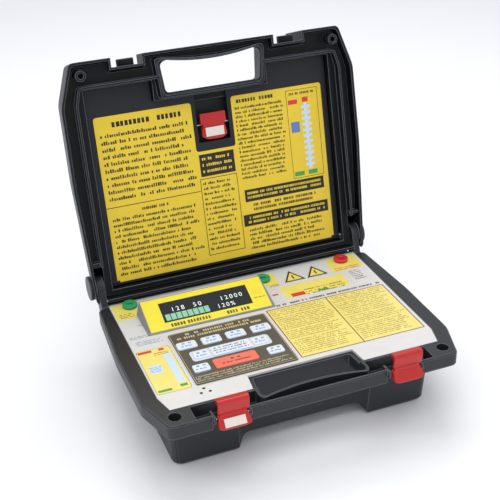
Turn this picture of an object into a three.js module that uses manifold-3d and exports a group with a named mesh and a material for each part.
// Insulation resistance tester in a moulded carry case with an open, hinged lid.
// Millimetres, +Z up, +Y towards the hinge, origin at the centre of the flat underside.

import * as THREE from 'three';
import { mergeVertices } from 'three/addons/utils/BufferGeometryUtils.js';
import Module from 'manifold-3d';

const wasm = await Module();
wasm.setup();

// ---------- driving dimensions ----------

const DECK = 80;               // height of the case deck above the floor
const FLANGE = 15.7;           // height of the flange round the deck
const FLANGE_LOW = DECK - FLANGE;
const FRONT = -111;            // front face of the case
const BACK = 111;              // back corners of the flange
const WALL = 3;
const GAP = 0.4;               // clearance between neighbouring pieces

const RIM = DECK + 1.2;        // rim of the closed lid
const LID_DEPTH = 50;
const LID_BACK = 146;
const LID_WALL = 2.8;
const HINGE_Y = 130.7;
const HINGE_Z = DECK + 16.7;
const OPEN_ANGLE = THREE.MathUtils.degToRad(103.7);

const PANEL_X = 147.6;         // half width of the instrument panel
const PANEL_BACK = 115;
const PANEL_TOP = DECK - 0.2;
const PANEL_THICK = 2.5;

const LATCH_X = 90.3;          // the two latches stand this far from the middle
const LATCH_WIDTH = 31;
const LATCH_PIVOT_Y = -112.5;
const LATCH_PIVOT_Z = DECK - 3;

const EAR_X = 152;             // middle of each hinge ear
const EAR_WIDTH = 7;
const EAR_RADIUS = 12.5;

const SOCKET_X = 141;          // corner sockets that take the lid's bosses
const SOCKET_Y = -97.2;

// ---------- materials ----------

const finish = (color, roughness, metalness = 0) =>
  new THREE.MeshStandardMaterial({ color, roughness, metalness });
const charcoal = finish(0x3a3b3d, 0.6);
const darkGrey = finish(0x45474b, 0.55);
const red = finish(0xb82020, 0.45);
const paleInsert = finish(0xe9e3da, 0.5);
const panelWhite = finish(0xe6e2da, 0.5);
const bezelGrey = finish(0x8b8b86, 0.5);
const displayBlack = finish(0x0b0d0e, 0.15);
const keypadGrey = finish(0x4d463f, 0.6);
const keyPale = finish(0xe3eaf1, 0.5);
const testRed = finish(0xe8705f, 0.5);
const jackGreen = finish(0x1f8a4c, 0.4);
const jackRed = finish(0xc0282a, 0.4);
const brass = finish(0xb99a4a, 0.35, 1);
const steel = finish(0xb9bcc0, 0.3, 1);
const boardGreen = finish(0x1d5b35, 0.5);
const resin = finish(0x17181a, 0.5);
const cellGold = finish(0xa08a4c, 0.4, 0.6);

// ---------- helpers ----------

// A closed three.js geometry as a solid for cutting and joining.
function solid(geometry) {
  const plain = geometry.index ? geometry.toNonIndexed() : geometry.clone();
  plain.deleteAttribute('normal');
  plain.deleteAttribute('uv');
  const merged = mergeVertices(plain, 1e-4);
  return new wasm.Manifold(new wasm.Mesh({
    numProp: 3,
    vertProperties: new Float32Array(merged.attributes.position.array),
    triVerts: new Uint32Array(merged.index.array),
  }));
}

function toGeometry(body) {
  const mesh = body.getMesh();
  const geometry = new THREE.BufferGeometry();
  geometry.setAttribute('position', new THREE.BufferAttribute(mesh.vertProperties, 3));
  geometry.setIndex(new THREE.BufferAttribute(mesh.triVerts, 1));
  geometry.computeVertexNormals();
  return geometry;
}

function joined(...bodies) {
  return bodies.reduce((sum, body) => sum.add(body));
}

function cut(body, ...tools) {
  return tools.reduce((rest, tool) => rest.subtract(tool), body);
}

// A box between two corners.
function block(x0, x1, y0, y1, z0, z1) {
  const geometry = new THREE.BoxGeometry(x1 - x0, y1 - y0, z1 - z0);
  geometry.translate((x0 + x1) / 2, (y0 + y1) / 2, (z0 + z1) / 2);
  return solid(geometry);
}

// An upright round bar.
function post(x, y, radius, z0, z1, sides = 24) {
  const geometry = new THREE.CylinderGeometry(radius, radius, z1 - z0, sides);
  geometry.rotateX(Math.PI / 2);
  geometry.translate(x, y, (z0 + z1) / 2);
  return solid(geometry);
}

// A round bar along X.
function crossBar(x0, x1, y, z, radius, sides = 24) {
  const geometry = new THREE.CylinderGeometry(radius, radius, x1 - x0, sides);
  geometry.rotateZ(Math.PI / 2);
  geometry.translate((x0 + x1) / 2, y, z);
  return solid(geometry);
}

// A round bar along X on one side of the middle, from one distance out to another.
function sideBar(side, inner, outer, y, z, radius, sides = 24) {
  const [x0, x1] = side < 0 ? [-outer, -inner] : [inner, outer];
  return crossBar(x0, x1, y, z, radius, sides);
}

// A box on one side, given by its middle and half width across X.
function sideBlock(middle, half, y0, y1, z0, z1) {
  return block(middle - half, middle + half, y0, y1, z0, z1);
}

// A flat outline raised between two heights.
function prism(points, z0, z1) {
  const shape = new THREE.Shape(points.map(([x, y]) => new THREE.Vector2(x, y)));
  const geometry = new THREE.ExtrudeGeometry(shape, {
    depth: z1 - z0, bevelEnabled: false, curveSegments: 8,
  });
  geometry.translate(0, 0, z0);
  return solid(geometry);
}

// An outline in the YZ plane raised along X.
function sideProfile(points, x0, x1) {
  const shape = new THREE.Shape(points.map(([y, z]) => new THREE.Vector2(y, z)));
  const geometry = new THREE.ExtrudeGeometry(shape, {
    depth: x1 - x0, bevelEnabled: false, curveSegments: 8,
  });
  const toX = new THREE.Matrix4().set(0, 0, 1, x0, 1, 0, 0, 0, 0, 1, 0, 0, 0, 0, 0, 1);
  geometry.applyMatrix4(toX);
  return solid(geometry);
}

// An outline in the XZ plane raised along Y.
function frontProfile(points, y0, y1) {
  const shape = new THREE.Shape(points.map(([x, z]) => new THREE.Vector2(x, z)));
  const geometry = new THREE.ExtrudeGeometry(shape, {
    depth: y1 - y0, bevelEnabled: false, curveSegments: 8,
  });
  geometry.rotateX(Math.PI / 2);
  geometry.translate(0, y1, 0);
  return solid(geometry);
}

// Each edge of an anticlockwise outline moved inward by a distance.
function inset(points, distance) {
  const lines = points.map((point, i) => {
    const next = points[(i + 1) % points.length];
    const run = new THREE.Vector2(next[0] - point[0], next[1] - point[1]).normalize();
    const start = new THREE.Vector2(point[0] - run.y * distance, point[1] + run.x * distance);
    return { run, start };
  });
  return lines.map((line, i) => {
    const before = lines[(i + lines.length - 1) % lines.length];
    const cross = before.run.cross(line.run);
    const across = line.start.clone().sub(before.start);
    const along = across.cross(line.run) / cross;
    const corner = before.start.clone().addScaledVector(before.run, along);
    return [corner.x, corner.y];
  });
}

// Corners of an outline turned into short arcs. The radius may depend on the corner.
function rounded(points, radius, steps = 4) {
  return points.flatMap((point, i) => {
    const corner = new THREE.Vector2(...point);
    const reach = typeof radius === 'function' ? radius(point) : radius;
    const before = new THREE.Vector2(...points[(i + points.length - 1) % points.length]);
    const after = new THREE.Vector2(...points[(i + 1) % points.length]);
    const cutBack = Math.min(reach, corner.distanceTo(before) / 2.2, corner.distanceTo(after) / 2.2);
    const from = corner.clone().add(before.sub(corner).setLength(cutBack));
    const to = corner.clone().add(after.sub(corner).setLength(cutBack));
    const arc = new THREE.QuadraticBezierCurve(from, corner, to);
    return arc.getPoints(steps).map((p) => [p.x, p.y]);
  });
}

// A solid through a stack of outlines that have equal numbers of points.
function stacked(levels) {
  const count = levels[0].points.length;
  const height = (z, x, y) => (typeof z === 'function' ? z(x, y) : z);
  const positions = levels.flatMap(({ points, z }) => points.flatMap(([x, y]) => [x, y, height(z, x, y)]));
  const index = [];
  for (let level = 0; level < levels.length - 1; level += 1) {
    for (let i = 0; i < count; i += 1) {
      const a = level * count + i;
      const b = level * count + ((i + 1) % count);
      index.push(a, b, b + count, a, b + count, a + count);
    }
  }
  const caps = [0, levels.length - 1];
  caps.forEach((level) => {
    const contour = levels[level].points.map(([x, y]) => new THREE.Vector2(x, y));
    THREE.ShapeUtils.triangulateShape(contour, []).forEach(([a, b, c]) => {
      const base = level * count;
      index.push(...(level === 0 ? [base + c, base + b, base + a] : [base + a, base + b, base + c]));
    });
  });
  const geometry = new THREE.BufferGeometry();
  geometry.setAttribute('position', new THREE.Float32BufferAttribute(positions, 3));
  geometry.setIndex(index);
  return solid(geometry);
}

const bothSides = (make) => [-1, 1].map(make);

const group = new THREE.Group();
// The lid and all that hangs on it are drawn closed, then swung open about the hinge.
const lidSwing = new THREE.Group();
lidSwing.position.set(0, HINGE_Y, HINGE_Z);
lidSwing.rotation.x = -OPEN_ANGLE;
const lid = new THREE.Group();
lid.position.set(0, -HINGE_Y, -HINGE_Z);
lidSwing.add(lid);
group.add(lidSwing);

function add(name, body, material, parent = group) {
  const mesh = new THREE.Mesh(toGeometry(body), material);
  mesh.name = name;
  parent.add(mesh);
}

// ---------- outlines shared by the base and the lid ----------

function caseOutline(backX, backY) {
  return [
    [-backX, backY], [-165.5, 19], [-165, -66], [-150.5, FRONT],
    [150.5, FRONT], [165, -66], [165.5, 19], [backX, backY],
  ];
}
const flangeOutline = caseOutline(160, BACK);
const lidOutline = caseOutline(160, LID_BACK);

const panelOutline = [
  [-PANEL_X, PANEL_BACK], [-PANEL_X, -64], [-142, -85.6], [-59, -85.6], [-56.5, -64],
  [56.5, -64], [59, -85.6], [142, -85.6], [PANEL_X, -64], [PANEL_X, PANEL_BACK],
];
const panelPocket = [
  [-148, 115.4], [-148, -64.3], [-142.3, -86], [142.3, -86], [148, -64.3], [148, 115.4],
];

// The handle hole: straight back, splayed sides and a grip that bows towards the middle.
function handleOutline(grow) {
  const gripSteps = 8;
  const grip = [];
  for (let i = 0; i <= gripSteps; i += 1) {
    const across = -1 + (2 * i) / gripSteps;
    grip.push([across * (54.5 + grow), -95.3 - grow - 7.2 * across * across]);
  }
  const softerInFront = ([, y]) => (y > -80 ? 1.2 : 5);
  return rounded([[-53.3 - grow, -65.5 + grow], [-57 - grow, -96], ...grip, [57 + grow, -96],
    [53.3 + grow, -65.5 + grow]], softerInFront, 3);
}

// ---------- base of the case ----------

const FOOT_SETBACK = 66.8;     // the front between the feet lies this far forward of the middle
const ARCH_HEIGHT = 14;        // the underside between the feet is this far above the floor
const BOARD_LOW = DECK - 12.6; // underside of the circuit board
const BUZZER_AT = [-102, -69.5];
const BOARD_SCREWS = [[-127, 92], [127, 92], [-127, -50], [127, -50]];

const JACKS = [
  { name: 'jack_guard', x: -126.2, y: 104.8, material: jackGreen },
  { name: 'jack_earth', x: 26.5, y: 98, material: jackGreen },
  { name: 'jack_line', x: 125.6, y: 102.8, material: jackRed },
];

function baseShell() {
  const low = inset(flangeOutline, 0.8);
  const bandPoints = (points) => rounded(points, 5);
  const flange = stacked([
    { points: bandPoints(low), z: FLANGE_LOW },
    { points: bandPoints(flangeOutline), z: FLANGE_LOW + 1.5 },
    { points: bandPoints(flangeOutline), z: DECK - 1.4 },
    { points: bandPoints(inset(flangeOutline, 1.2)), z: DECK },
  ]);
  // The rail behind the panel, chamfered where the lid's back edge swings past, and the bed below the hinge
  const rearRail = sideProfile([
    [100, FLANGE_LOW], [118, FLANGE_LOW], [118, DECK - 1.4], [116.6, DECK], [100, DECK],
  ], -149, 149);
  const hingeBed = block(-148, 148, 117, 133, FLANGE_LOW, DECK - 6);
  const tubOutline = [[-142, 112], [-142, -78], [142, -78], [142, 112]];
  const tub = stacked([
    { points: rounded(inset(tubOutline, 6.5), 9), z: 0 },
    { points: rounded(inset(tubOutline, 3.4), 10), z: 4 },
    { points: rounded(tubOutline, 10), z: FLANGE_LOW + 1 },
  ]);
  const ears = bothSides((side) => joined(
    crossBar(side * EAR_X - EAR_WIDTH / 2, side * EAR_X + EAR_WIDTH / 2, HINGE_Y, HINGE_Z, EAR_RADIUS, 28),
    sideProfile([
      [100, FLANGE_LOW], [122, FLANGE_LOW], [143.2, HINGE_Z], [118.2, HINGE_Z], [112, DECK], [100, DECK],
    ], side * EAR_X - EAR_WIDTH / 2, side * EAR_X + EAR_WIDTH / 2),
  ));
  const outside = joined(flange, rearRail, hingeBed, tub, ...ears);

  const pocket = prism(panelPocket, DECK - WALL, DECK + 1);
  const cavity = joined(
    block(-133, 133, -38, 104, WALL, DECK),
    block(-133, 133, -61, -30, 17, DECK),
    ...bothSides((side) => block(side * 103.5 - 27, side * 103.5 + 27, -73, -30, WALL, DECK)),
  );
  const underDeck = block(-139, 139, -75.5, 104, DECK - 9, DECK);
  const ring = prism(handleOutline(1.3), FLANGE_LOW, DECK);
  const slot = block(-124, 124, -108.4, -88.8, FLANGE_LOW + 1.8, DECK + 1).subtract(ring);
  const handleHole = prism(handleOutline(-1.3), -1, DECK + 1);
  // The front is set back between the feet, with soft slopes down to each foot
  const frontRecess = prism(rounded([
    [-74, -130], [74, -130], [74, -78], [63, -FOOT_SETBACK], [-63, -FOOT_SETBACK], [-74, -78],
  ], 6), -1, FLANGE_LOW - 0.01);
  const underRecess = frontProfile(rounded([
    [-76, -2], [76, -2], [72.5, 1.5], [63, ARCH_HEIGHT], [-63, ARCH_HEIGHT], [-72.5, 1.5],
  ], 6), -130, -40);
  const sockets = bothSides((side) => post(side * SOCKET_X, SOCKET_Y, 6.4, DECK - 11, DECK + 1));
  const latchBays = bothSides((side) =>
    block(side * LATCH_X - 18.5, side * LATCH_X + 18.5, FRONT - 1, -100.5, FLANGE_LOW - 1, DECK + 1));
  const pinHoles = bothSides((side) =>
    crossBar(side * EAR_X - 8, side * EAR_X + 8, HINGE_Y, HINGE_Z, 3.2, 20));
  const batteryOpening = block(-122.4, -5.6, -22.4, 90.4, -1, WALL + 1);
  const buzzerWell = post(...BUZZER_AT, 9.5, 55, DECK - 2);
  const ribs = [-60, -20, 20, 60].map((x) => block(x - 1.2, x + 1.2, -64, -61.5, 20, 60));
  const jackClearance = JACKS.map(({ x, y }) => post(x, y, 9.5, DECK - 30, DECK));

  let body = cut(outside, pocket, slot, handleHole, frontRecess, underRecess, ...sockets, ...latchBays,
    ...pinHoles, batteryOpening, buzzerWell, ...jackClearance);
  body = cut(body, cavity.subtract(prism(handleOutline(3.5), -1, DECK + 1)),
    underDeck.subtract(prism(handleOutline(3.5), -1, DECK + 1)));
  const pillars = BOARD_SCREWS.map(([x, y]) => cut(
    post(x, y, 4, WALL - 1, BOARD_LOW - GAP, 16),
    post(x, y, 1.7, BOARD_LOW - 10, BOARD_LOW, 12),
  ));
  body = joined(body, ...ribs, ...pillars);
  // Ledges with the latch pins' ears on both sides of each bay
  const pinEars = bothSides((side) => joined(...bothSides((end) => {
    const middle = side * LATCH_X + end * 17.6;
    return sideProfile([[-101, DECK - 9], [-114.5, DECK - 7], [-116.5, DECK - 3], [-114.5, DECK + 0.5],
      [-101, DECK - 0.5]], middle - 1.1, middle + 1.1);
  })));
  const latchPinHoles = bothSides((side) => crossBar(side * LATCH_X - 19.5, side * LATCH_X + 19.5,
    LATCH_PIVOT_Y, LATCH_PIVOT_Z, 1.4, 12));
  return cut(joined(body, ...pinEars), ...latchPinHoles);
}

// ---------- instrument panel ----------

const HOUSING_TILT = THREE.MathUtils.degToRad(21);
const HOUSING = { x0: -122, x1: 15, y0: 41, y1: 82, flare: 3, lift: 1.4 };
// The window, measured up the sloping face from its front edge
const WINDOW = { x0: -103, x1: -4.8, low: 10, high: 35.5 };
const KEYPAD = { x0: -106.8, x1: 0.2, y0: -60, y1: 32 };

const KEYS = [
  { name: 'key_1', x: -94.4, y: 6.8 },
  { name: 'key_2', x: -68, y: 6.8 },
  { name: 'key_3', x: -41.4, y: 6.8 },
  { name: 'key_4', x: -13.8, y: 6.8 },
  { name: 'key_left', x: -86, y: -14.6, width: 17 },
  { name: 'key_right', x: -23, y: -14.6, width: 17 },
  { name: 'key_off', x: -93.6, y: -36, width: 17 },
  { name: 'key_test', x: -57.4, y: -36, width: 46, height: 16, material: testRed },
  { name: 'key_on', x: -14.6, y: -36, width: 17 },
];
const KEY_WIDTH = 21;
const KEY_HEIGHT = 12.5;

function keyOutline(key, grow) {
  const halfX = (key.width ?? KEY_WIDTH) / 2 + grow;
  const halfY = (key.height ?? KEY_HEIGHT) / 2 + grow;
  return rounded([
    [key.x - halfX, key.y + halfY], [key.x - halfX, key.y - halfY],
    [key.x + halfX, key.y - halfY], [key.x + halfX, key.y + halfY],
  ], 2.5, 3);
}

function instrumentPanel() {
  const low = PANEL_TOP - PANEL_THICK;
  const plate = prism(panelOutline, low, PANEL_TOP);
  const jackHoles = JACKS.map(({ x, y }) => post(x, y, 5.4, low - 1, PANEL_TOP + 1));
  const soundHoles = [[-102, -66.4], [-97.6, -72.6], [-106.6, -72.6]].map(([x, y]) =>
    post(x, y, 1.3, low - 1, PANEL_TOP + 1, 10));
  const displayHole = block(WINDOW.x0 - 2, WINDOW.x1 + 2, HOUSING.y0 + 5, HOUSING.y1 - 2, low - 1,
    PANEL_TOP + 1);
  const keyHoles = KEYS.map((key) => prism(keyOutline(key, 0.6), low - 1, PANEL_TOP + 1));
  return cut(plate, ...jackHoles, ...soundHoles, displayHole, ...keyHoles);
}

// A box laid on the sloping face of the display housing, with heights measured square to it.
function faceBlock(x0, x1, low, high, depth0, depth1) {
  const geometry = new THREE.BoxGeometry(x1 - x0, high - low, depth1 - depth0);
  geometry.translate((x0 + x1) / 2, (low + high) / 2, (depth0 + depth1) / 2);
  geometry.rotateX(HOUSING_TILT);
  geometry.translate(0, HOUSING.y0, PANEL_TOP + HOUSING.lift);
  return solid(geometry);
}

// A box over the window, larger than it by a margin on every side.
function windowBlock(margin, depth0, depth1) {
  const { x0, x1, low, high } = WINDOW;
  return faceBlock(x0 - margin, x1 + margin, low - margin, high + margin, depth0, depth1);
}

function displayHousing() {
  const { x0, x1, y0, y1, flare, lift } = HOUSING;
  const faceHeight = (x, y) => PANEL_TOP + lift + (y - y0) * Math.tan(HOUSING_TILT);
  const wedge = stacked([
    { points: [[x0 - flare, y1 + 2], [x0 - flare, y0 - 1], [x1 + flare, y0 - 1], [x1 + flare, y1 + 2]],
      z: PANEL_TOP + 0.3 },
    { points: [[x0, y1], [x0, y0], [x1, y0], [x1, y1]], z: faceHeight },
  ]);
  return cut(wedge, windowBlock(GAP, -5, 3), windowBlock(1.5, -14, -2.4));
}

function keypadFrame() {
  const { x0, x1, y0, y1 } = KEYPAD;
  const outline = rounded([[x0, y1], [x0, y0], [x1, y0], [x1, y1]], 2, 3);
  const plate = prism(outline, PANEL_TOP + 0.3, PANEL_TOP + 1.3);
  return cut(plate, ...KEYS.map((key) => prism(keyOutline(key, 0.5), PANEL_TOP - 1, PANEL_TOP + 3)));
}

function keyBody(key) {
  const top = PANEL_TOP + 2.6;
  const cap = stacked([
    { points: keyOutline(key, 0), z: PANEL_TOP - 3.4 },
    { points: keyOutline(key, 0), z: top - 0.6 },
    { points: keyOutline(key, -0.7), z: top },
  ]);
  return cap;
}

function jackBody({ x, y }) {
  const collar = post(x, y, 8.2, PANEL_TOP + 0.3, PANEL_TOP + 4);
  const barrel = post(x, y, 5, DECK - 24, PANEL_TOP + 1, 20);
  return cut(joined(collar, barrel), post(x, y, 3.1, DECK - 20, PANEL_TOP + 6, 16));
}

function jackNut({ x, y }) {
  const ring = post(x, y, 8.4, DECK - 7, DECK - 3.2, 6);
  return cut(ring, post(x, y, 5.3, DECK - 8, DECK - 2, 20));
}

// ---------- latches ----------

// The latch in its own YZ plane, about its pivot: a tab above, a pinched waist and a lip below.
const LIP_START = [-4.2, 2.6];
const LIP_END = [-10.6, -5.4];

function latchProfile() {
  const outline = new THREE.Shape();
  outline.moveTo(3.2, 21.5);
  outline.lineTo(-2.6, 22.6);
  outline.quadraticCurveTo(-5.8, 22, -5.6, 18);
  outline.quadraticCurveTo(-5.2, 11, -3.6, 7);
  outline.quadraticCurveTo(-2.8, 4.6, ...LIP_START);
  outline.lineTo(...LIP_END);
  outline.lineTo(-9.6, -7.4);
  outline.quadraticCurveTo(-3.4, -5.6, 0.4, -4);
  outline.quadraticCurveTo(2.6, -2.6, 2.4, -0.5);
  outline.quadraticCurveTo(2.4, 3, -0.6, 5.2);
  outline.quadraticCurveTo(-2.8, 10, -2.6, 17);
  outline.lineTo(1.4, 18.6);
  return outline.getPoints(5).map((p) => [LATCH_PIVOT_Y + p.x, LATCH_PIVOT_Z + p.y]);
}

function latchBody(side) {
  const half = LATCH_WIDTH / 2;
  const middle = side * LATCH_X;
  const body = sideProfile(latchProfile(), middle - half - 1, middle + half + 1);
  // Seen from the front: square tab, notched waist, and a lip that widens to a bowed edge
  const rightEdge = [[16, -5], [15, 2], [13.4, 3.6], [13.4, 6.4], [half, 8.4], [half, 24]];
  const leftEdge = rightEdge.map(([x, z]) => [-x, z]).reverse();
  const front = [[-10, -7.2], [0, -8], [10, -7.2], ...rightEdge, ...leftEdge];
  const mask = frontProfile(front.map(([x, z]) => [middle + x, LATCH_PIVOT_Z + z]), -140, -90);
  const bore = crossBar(middle - half - 2, middle + half + 2, LATCH_PIVOT_Y, LATCH_PIVOT_Z, 1.7, 14);
  return cut(body.intersect(mask), bore);
}

// A thin plate that lies just off the outer face of the left latch's lip
function latchInsert() {
  const [startY, startZ] = LIP_START;
  const run = new THREE.Vector2(LIP_END[0] - startY, LIP_END[1] - startZ);
  const length = run.length();
  run.normalize();
  const at = (along, off) => [
    LATCH_PIVOT_Y + startY + run.x * along + run.y * off,
    LATCH_PIVOT_Z + startZ + run.y * along - run.x * off,
  ];
  const corners = [at(0.8, 0.3), at(length - 1, 0.3), at(length - 1, 1.3), at(0.8, 1.3)];
  return sideProfile(corners, -LATCH_X - 10.6, -LATCH_X + 10.6);
}

function latchPin(side) {
  return crossBar(side * LATCH_X - 18.4, side * LATCH_X + 18.4, LATCH_PIVOT_Y, LATCH_PIVOT_Z, 1.1, 12);
}

// ---------- lid ----------

// Heights in the lid are measured up from its rim, with the lid closed.
const up = (height) => RIM + height;
const CHANNEL = 9;             // depth of the channel between the outer wall and the ridge
const COVER_DEPTH = 17.5;      // the inner cover lies this deep, clear of the display housing below it
const ridgeOutline = [
  [-149.6, 107], [-149.6, -66], [-144.6, -85.4], [144.6, -85.4], [149.6, -66], [149.6, 107],
];
const WINDOW_FLARE = 3;        // the handle window widens by this much through the grip
const GRIP_DEPTH = 23.4;       // depth of the grip; beyond it the outside is scooped out for the fingers
const SCOOP_WALL = 2.4;

// The lid's handle window: straight back, splayed sides and a grip that bows towards the middle.
function lidWindow(grow) {
  const gripSteps = 8;
  const grip = [];
  for (let i = 0; i <= gripSteps; i += 1) {
    const across = -1 + (2 * i) / gripSteps;
    grip.push([across * (50 + grow), -95.8 - 5 * across * across - grow * 0.6]);
  }
  return rounded([[-53 - grow, -67 + grow], [-56 - grow, -97 - grow], ...grip, [56 + grow, -97 - grow],
    [53 + grow, -67 + grow]], 4, 3);
}

const windowThrough = (grow, low, high) => stacked([
  { points: lidWindow(grow + (WINDOW_FLARE * low) / GRIP_DEPTH), z: up(low) },
  { points: lidWindow(grow + (WINDOW_FLARE * high) / GRIP_DEPTH), z: up(high) },
]);

// The finger scoop behind the lid's grip, open to the front and the outside.
function scoop(grow, low, high) {
  return prism(rounded([
    [-74 - grow, -130], [74 + grow, -130], [74 + grow, -53 + grow], [-74 - grow, -53 + grow],
  ], 12), up(low), up(high));
}

function earSlots() {
  return bothSides((side) => sideBlock(side * EAR_X, 4.4, 111, 150, up(-3), up(30)));
}

// The latch channel runs over the whole depth of the lid; its floor leans inward.
const NOTCH_FLOOR = -101;
const NOTCH_LEAN = 0.29;

function latchNotch(side, halfWidth, behind, low, high) {
  const floorAt = (height) => NOTCH_FLOOR + behind + NOTCH_LEAN * Math.max(height, 0);
  return sideProfile([
    [-125, up(low)], [floorAt(low), up(low)], [floorAt(0), up(0)], [floorAt(high), up(high)], [-125, up(high)],
  ], side * LATCH_X - halfWidth, side * LATCH_X + halfWidth);
}

function lidShell() {
  const corners = (points) => rounded(points, 5);
  const outside = stacked([
    { points: corners(lidOutline), z: up(0) },
    { points: corners(inset(lidOutline, 5)), z: up(LID_DEPTH - 5) },
    { points: corners(inset(lidOutline, 10)), z: up(LID_DEPTH) },
  ]);
  const inside = stacked([
    { points: corners(inset(lidOutline, LID_WALL)), z: up(-1) },
    { points: corners(inset(lidOutline, LID_WALL + 5)), z: up(LID_DEPTH - 6) },
    { points: corners(inset(lidOutline, LID_WALL + 8)), z: up(LID_DEPTH - LID_WALL) },
  ]);
  const windowTube = windowThrough(2.4, 0, GRIP_DEPTH);
  const scoopBlock = scoop(SCOOP_WALL, GRIP_DEPTH - SCOOP_WALL, LID_DEPTH - 1).intersect(outside);
  const notchBlocks = bothSides((side) =>
    latchNotch(side, 19, SCOOP_WALL, 0, LID_DEPTH - 1).intersect(outside));
  const hingeBosses = bothSides((side) => sideBar(side, 156.6, 160.4, HINGE_Y, HINGE_Z, 13, 28));
  const bosses = bothSides((side) => post(side * SOCKET_X, SOCKET_Y, 5.6, up(-5), up(30), 20));
  let body = cut(outside, inside);
  body = joined(body, windowTube, scoopBlock, ...notchBlocks, ...hingeBosses);
  const pinHoles = bothSides((side) => sideBar(side, 150, 170, HINGE_Y, HINGE_Z, 3.2, 20));
  const notches = bothSides((side) => latchNotch(side, 16.7, 0, -1, LID_DEPTH + 1));
  body = cut(body, scoop(0, GRIP_DEPTH, LID_DEPTH + 1), windowThrough(0, -1, GRIP_DEPTH + 1), ...earSlots(),
    ...notches);
  const bossBraces = bothSides((side) => sideBlock(side * 145.5, 4.5, -98.4, -96, up(14), up(30)));
  body = joined(body, ...bosses, ...bossBraces);
  body = cut(body, ...pinHoles, ...bothSides((side) => post(side * SOCKET_X, SOCKET_Y, 3, up(-6), up(6), 16)));
  return body;
}

// The bar in the latch channel that the latch hooks over
function lidCatch(side) {
  const [low, high] = [7, 11];
  const root = (height) => NOTCH_FLOOR + NOTCH_LEAN * height - GAP;
  return sideProfile([[-107.5, up(low)], [root(low), up(low)], [root(high), up(high)], [-107.5, up(high)]],
    side * LATCH_X - 9, side * LATCH_X + 9);
}

function lidLiner() {
  const deckPlate = inset(lidOutline, LID_WALL + 2);
  const plate = prism(rounded(deckPlate, 4), up(CHANNEL), up(CHANNEL + 2.4));
  const ridgeOuter = prism(rounded(ridgeOutline, 4), up(0), up(CHANNEL + 1));
  const ridgeInner = prism(rounded(inset(ridgeOutline, 2.6), 3), up(-1), up(CHANNEL + 0.01));
  const openBack = block(-147, 147, 60, 130, up(-1), up(CHANNEL));
  const compartment = [
    [-141, 138], [-141, -83], [-62.5, -83], [-62.5, -61], [62.5, -61], [62.5, -83], [141, -83], [141, 138],
  ];
  const boxOuter = prism(compartment, up(CHANNEL), up(43));
  const boxInner = prism(inset(compartment, 2.2), up(CHANNEL - 2), up(40.6));
  // The ridge steps round the handle window, level with the rim
  const body = joined(plate, cut(ridgeOuter, ridgeInner, openBack), boxOuter);
  const windowGap = windowThrough(3, -1, GRIP_DEPTH + 1);
  const windowWall = cut(windowThrough(5.4, 0, CHANNEL + 1), windowGap);
  const scoopGap = scoop(SCOOP_WALL + 0.6, GRIP_DEPTH - SCOOP_WALL - 0.6, LID_DEPTH);
  const notchGaps = bothSides((side) => latchNotch(side, 19.6, SCOOP_WALL + 0.6, -1, LID_DEPTH));
  const bossGaps = bothSides((side) => post(side * SOCKET_X, SOCKET_Y, 6.1, up(-6), up(31), 20));
  const slotWalls = bothSides((side) => sideBlock(side * EAR_X, 5.2, 108, 150, up(-3), up(31)));
  const bossRoom = bothSides((side) => sideBar(side, 156, 162, HINGE_Y, HINGE_Z, 13.6, 20));
  const crossRibs = bothSides((side) => sideBlock(side * EAR_X, 5.5, 101, 104, up(2), up(CHANNEL + 1)));
  const pinGaps = bothSides((side) => sideBar(side, 138, 154, HINGE_Y, HINGE_Z, 3.4, 16));
  const coverPinGaps = bothSides((side) => sideBar(side, 133, 145, COVER_PIVOT_Y, up(COVER_PIVOT_UP), 2, 12));
  return cut(joined(body, windowWall, ...crossRibs), boxInner, windowGap, scoopGap, ...notchGaps, ...bossGaps,
    ...slotWalls, ...bossRoom, ...pinGaps, ...coverPinGaps);
}

// ---------- inner cover of the lead compartment ----------

const COVER_PIVOT_Y = 131;
const COVER_PIVOT_UP = COVER_DEPTH + 3;
const coverOutline = [
  [-137.6, 134.2], [-137.6, -79.6], [-65.4, -79.6], [-65.4, -57.8], [65.4, -57.8], [65.4, -79.6],
  [137.6, -79.6], [137.6, 134.2],
];
// The finger pocket runs out through the front edge of the cover; its floor stops short of the scoop
const POCKET = { x0: -18.5, x1: 18.5, y0: -60, y1: -5, floorFrom: -49 };

function innerCover() {
  const plate = prism(rounded(coverOutline, 1.2, 3), up(COVER_DEPTH), up(COVER_DEPTH + 2.8));
  const { x0, x1, y0, y1, floorFrom } = POCKET;
  const pocketWall = block(x0 - 2, x1 + 2, floorFrom, y1 + 2, up(COVER_DEPTH), up(COVER_DEPTH + 15));
  const pocketRoom = block(x0, x1, y0, y1, up(COVER_DEPTH - 1), up(COVER_DEPTH + 13));
  const stiffeners = [-100, -50, 50, 100].map((x) =>
    block(x - 1, x + 1, -40, 118, up(COVER_DEPTH + 2), up(COVER_DEPTH + 7)));
  const eyes = bothSides((side) => sideBar(side, 128, 136, COVER_PIVOT_Y, up(COVER_PIVOT_UP), 3.6, 16));
  const pinHoles = bothSides((side) => sideBar(side, 126, 138, COVER_PIVOT_Y, up(COVER_PIVOT_UP), 1.9, 12));
  const latchPinHole = crossBar(x0 - 3, x1 + 3, INNER_LATCH_Y, up(INNER_LATCH_UP), 1.3, 12);
  return cut(joined(plate, pocketWall, ...stiffeners, ...eyes), pocketRoom, ...pinHoles, latchPinHole);
}

const INNER_LATCH_Y = -24;
const INNER_LATCH_UP = COVER_DEPTH + 3.5;

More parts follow.
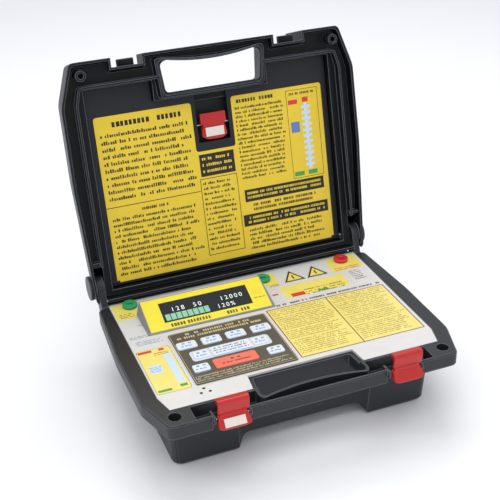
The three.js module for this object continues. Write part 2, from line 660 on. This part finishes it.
// The inner latch: a flap above its pin and a curved finger lip below it.
function innerLatch() {
  const outline = new THREE.Shape();
  outline.moveTo(-12.5, -3.2);
  outline.lineTo(-12.5, -5.4);
  outline.lineTo(2, -5.8);
  outline.quadraticCurveTo(9, -4.6, 16, -7.2);
  outline.lineTo(17, -5);
  outline.quadraticCurveTo(9, 0.4, 2.6, 2.2);
  outline.quadraticCurveTo(-1, 3.4, -3, 1);
  outline.quadraticCurveTo(-4, -2.4, -12.5, -3.2);
  const points = outline.getPoints(4).map((p) => [INNER_LATCH_Y + p.x, up(INNER_LATCH_UP) + p.y]);
  const body = sideProfile(points.slice(0, -1), -15, 15);
  // Seen from the front: square flap, notched waist, and a lip with a bowed edge
  const rightEdge = [
    [14.6, -38], [14.6, -26], [12.4, -24], [12.4, -21.6], [13.4, -19.6], [14.4, -11.4], [9, -8.2],
  ];
  const leftEdge = rightEdge.map(([x, y]) => [-x, y]).reverse();
  const mask = prism([...rightEdge, [0, -7], ...leftEdge], up(0), up(40));
  return cut(body.intersect(mask), crossBar(-20, 20, INNER_LATCH_Y, up(INNER_LATCH_UP), 1.3, 12));
}

// ---------- what the case holds inside ----------

const BATTERY = { radius: 13, length: 50, z: 19.5 };
const CELLS = [-92, -40].flatMap((x) => [0, 30, 60].map((y) => ({ x, y })));

function batteryTray() {
  const tray = block(-121, -7, -20, 82, 5, 14);
  const halfGroove = BATTERY.length / 2 + 0.6;
  const grooves = CELLS.map(({ x, y }) =>
    crossBar(x - halfGroove, x + halfGroove, y + 1, BATTERY.z, BATTERY.radius + 0.5, 24));
  return cut(tray, ...grooves);
}

function batteryCell({ x, y }) {
  const radius = BATTERY.radius;
  const half = BATTERY.length / 2;
  const profile = [
    [0, -half], [radius - 0.8, -half], [radius, -half + 0.8], [radius, half - 2.6], [radius - 0.8, half - 1.8],
    [3, half - 1.8], [3, half], [0, half],
  ].map(([r, h]) => new THREE.Vector2(r, h));
  const geometry = new THREE.LatheGeometry(profile, 24);
  geometry.rotateZ(-Math.PI / 2);
  geometry.translate(x, y + 1, BATTERY.z);
  return solid(geometry);
}

function mainBoard() {
  const board = block(-131.4, 131.4, -56, 97, BOARD_LOW, BOARD_LOW + 1.6);
  const screwHoles = BOARD_SCREWS.map(([x, y]) => post(x, y, 1.9, BOARD_LOW - 1, BOARD_LOW + 3, 12));
  const jackGaps = JACKS.map(({ x, y }) => post(x, y, 6.2, BOARD_LOW - 1, BOARD_LOW + 3, 20));
  return cut(board, ...screwHoles, ...jackGaps);
}

// A pan-head screw through the board into its pillar
function boardScrew([x, y]) {
  const head = post(x, y, 3.2, BOARD_LOW + 2, BOARD_LOW + 4, 12);
  const shank = post(x, y, 1.4, BOARD_LOW - 8, BOARD_LOW + 3, 10);
  return joined(head, shank);
}

// A laminated core with its winding standing out on two sides
function transformer() {
  const core = block(22, 62, -52, -12, BOARD_LOW - 37, BOARD_LOW - GAP);
  const winding = block(30, 54, -56, -8, BOARD_LOW - 31, BOARD_LOW - 6);
  return joined(core, winding);
}

// A drum with a sound hole in its top, below the holes in the panel
function buzzer() {
  const [x, y] = BUZZER_AT;
  return cut(post(x, y, 8.6, DECK - 16, DECK - 4), post(x, y, 1.5, DECK - 8, DECK - 3, 10));
}

// ---------- the assembly ----------

add('base_shell', baseShell(), charcoal);
add('instrument_panel', instrumentPanel(), panelWhite);
add('display_housing', displayHousing(), bezelGrey);
add('display_window', windowBlock(0, -2.2, -0.6), displayBlack);
add('display_module', windowBlock(1, -9, -2.8), resin);
add('keypad_frame', keypadFrame(), keypadGrey);
add('keypad_bar', block(-75.5, -33.5, -22.4, -6.8, PANEL_TOP + 1.6, PANEL_TOP + 2.4), keyPale);
KEYS.forEach((key) => add(key.name, keyBody(key), key.material ?? keyPale));
add('key_mat', block(-108, 2, -56, 30, DECK - 7.4, DECK - 5.6), resin);
add('main_board', mainBoard(), boardGreen);
BOARD_SCREWS.forEach((place, i) => add(`board_screw_${i + 1}`, boardScrew(place), steel));
add('high_voltage_module', block(18, 118, 16, 92, BOARD_LOW - 36, BOARD_LOW - GAP), resin);
add('transformer', transformer(), steel);
add('buzzer', buzzer(), resin);
JACKS.forEach((jack) => {
  add(jack.name, jackBody(jack), jack.material);
  add(`${jack.name}_nut`, jackNut(jack), brass);
});
add('battery_tray', batteryTray(), resin);
CELLS.forEach((cell, i) => add(`battery_${i + 1}`, batteryCell(cell), cellGold));
add('battery_door', block(-122, -6, -22, 90, 0.4, WALL - 0.2), charcoal);
[-1, 1].forEach((side) => {
  const word = side < 0 ? 'left' : 'right';
  add(`latch_${word}`, latchBody(side), red);
  add(`latch_pin_${word}`, latchPin(side), steel);
  add(`hinge_pin_${word}`, sideBar(side, 146.6, 160.2, HINGE_Y, HINGE_Z, 2.8, 20), steel, lid);
  add(`hinge_cap_${word}`, sideBar(side, 160.7, 164.2, HINGE_Y, HINGE_Z, 13.4, 28), charcoal, lid);
  add(`lid_catch_${word}`, lidCatch(side), charcoal, lid);
  const coverPin = sideBar(side, 129, 142, COVER_PIVOT_Y, up(COVER_PIVOT_UP), 1.5, 12);
  add(`cover_pin_${word}`, coverPin, paleInsert, lid);
});
add('latch_insert_left', latchInsert(), paleInsert);
add('lid_shell', lidShell(), charcoal, lid);
add('lid_liner', lidLiner(), charcoal, lid);
add('inner_cover', innerCover(), darkGrey, lid);
add('inner_latch', innerLatch(), red, lid);
add('inner_latch_insert', block(-10.6, 10.6, -21, -11, up(INNER_LATCH_UP - 7.4),
  up(INNER_LATCH_UP - 6.6)), paleInsert, lid);
add('inner_latch_pin', crossBar(-20, 20, INNER_LATCH_Y, up(INNER_LATCH_UP), 1, 12), steel, lid);

export default group;
